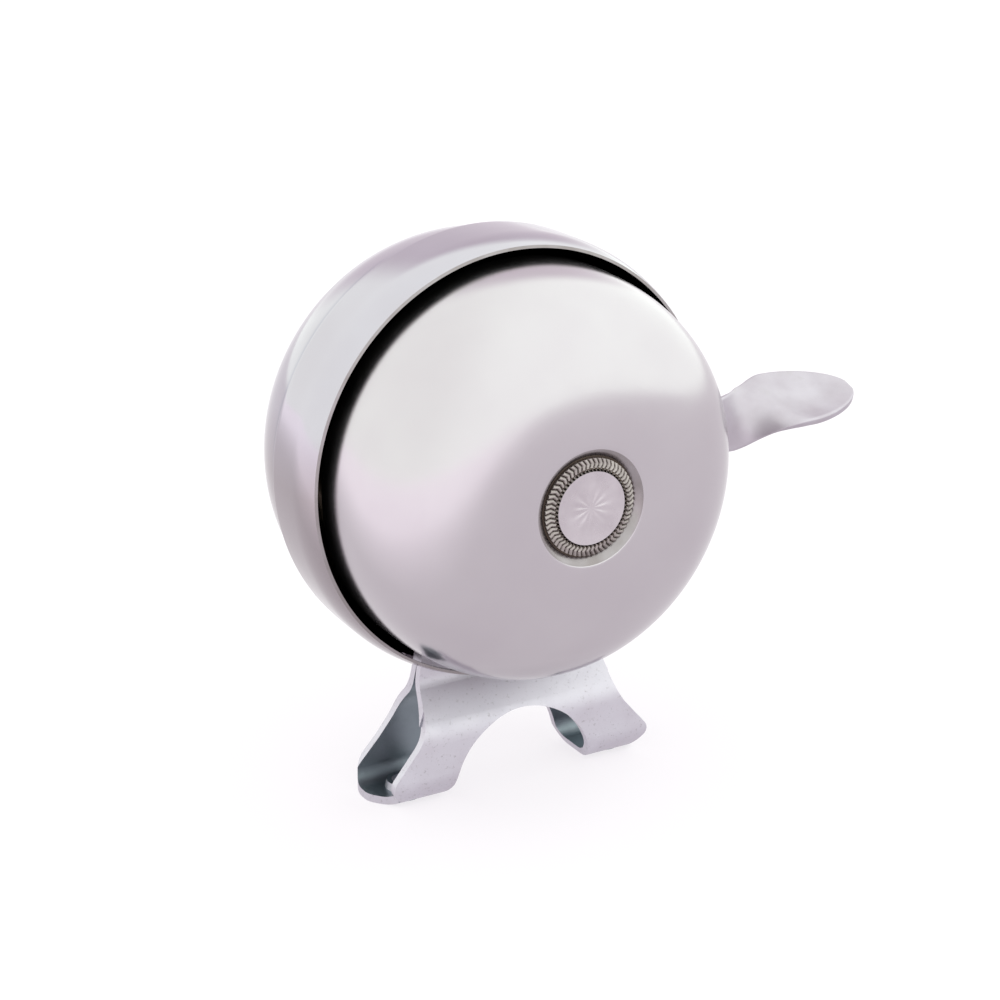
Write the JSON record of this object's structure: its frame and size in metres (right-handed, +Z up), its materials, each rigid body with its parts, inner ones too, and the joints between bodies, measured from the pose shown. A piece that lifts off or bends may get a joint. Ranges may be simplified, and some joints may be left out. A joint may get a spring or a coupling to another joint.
{
  "type": "bicycle bell",
  "caption": "Ding-dong bicycle bell with nested gongs, a sprung thumb lever and a geared flyer with loose hammers, on a bent-sheet handlebar saddle.",
  "frame": {"origin": "axis of the handlebar saddle, in the middle of the bracket's front sheet", "axes": "+Z up from the handlebar to the bell, -Y the way the front gong faces, +X towards the thumb lever"},
  "size_m": [0.0938, 0.0593, 0.0819],
  "materials": {
    "gong_steel": "satin",
    "bracket_zinc": "bright zinc plate",
    "lever_zinc": "tumbled nickel plate",
    "cap_nickel": "satin nickel",
    "steel_parts": "plain",
    "hammer_iron": "oiled",
    "spring_wire": "drawn wire",
    "brass": "machined",
    "rubber": "matte"
  },
  "bodies": {
    "chassis": {"front_gong": "gong_steel", "rear_gong": "gong_steel", "front_strike_tab": "steel_parts", "rear_strike_lug": "steel_parts", "saddle_bracket": "bracket_zinc", "chassis_plate": "bracket_zinc", "neck_rivets": "steel_parts", "centre_stud": "steel_parts", "thrust_collar": "steel_parts", "gong_standoff": "steel_parts", "rubber_washer": "rubber", "cap_nut": "cap_nickel", "rear_spacer_tube": "steel_parts", "rear_washer": "cap_nickel", "acorn_nut": "cap_nickel", "lever_rivet": "steel_parts", "lever_washer": "steel_parts", "return_spring": "spring_wire", "spring_post": "steel_parts", "idler_axle": "steel_parts"},
    "lever": {"thumb_lever": "lever_zinc"},
    "idler": {"idler_gear": "steel_parts", "idler_pinion": "brass"},
    "flyer": {"flyer_pinion": "brass", "flyer_bar": "steel_parts", "front_hammer_pin": "steel_parts", "rear_hammer_pin": "steel_parts"},
    "front_hammer": {"front_hammer": "hammer_iron"},
    "rear_hammer": {"rear_hammer": "hammer_iron"}
  },
  "joints": [
    {"name": "lever_press", "type": "hinge", "parent": "chassis", "child": "lever", "pos_m": [0.018, 0.0053, 0.0457], "axis": [0, 1, 0], "range_deg": [0, 30], "stiffness_Nm_per_rad": 0.15, "springref_deg": -20.05, "deforming": ["return_spring"]},
    {"name": "idler_turn", "type": "hinge", "parent": "chassis", "child": "idler", "pos_m": [0.00942, 0, 0.06175], "axis": [0, 1, 0], "range_deg": [-127, 0]},
    {"name": "flyer_turn", "type": "hinge", "parent": "chassis", "child": "flyer", "pos_m": [0, 0, 0.0487], "axis": [0, 1, 0], "range_deg": [0, 358]},
    {"name": "front_hammer_play", "type": "slide", "parent": "flyer", "child": "front_hammer", "axis": [-0.8192, 0, 0.5736], "range_m": [-0.0006, 0.0006]},
    {"name": "rear_hammer_play", "type": "slide", "parent": "flyer", "child": "rear_hammer", "axis": [0.8192, 0, -0.5736], "range_m": [-0.0006, 0.0006]}
  ],
  "couplings": [
    {"joint": "idler_turn", "follows": "lever_press", "ratio": -4.2},
    {"joint": "flyer_turn", "follows": "lever_press", "ratio": 11.9}
  ]
}
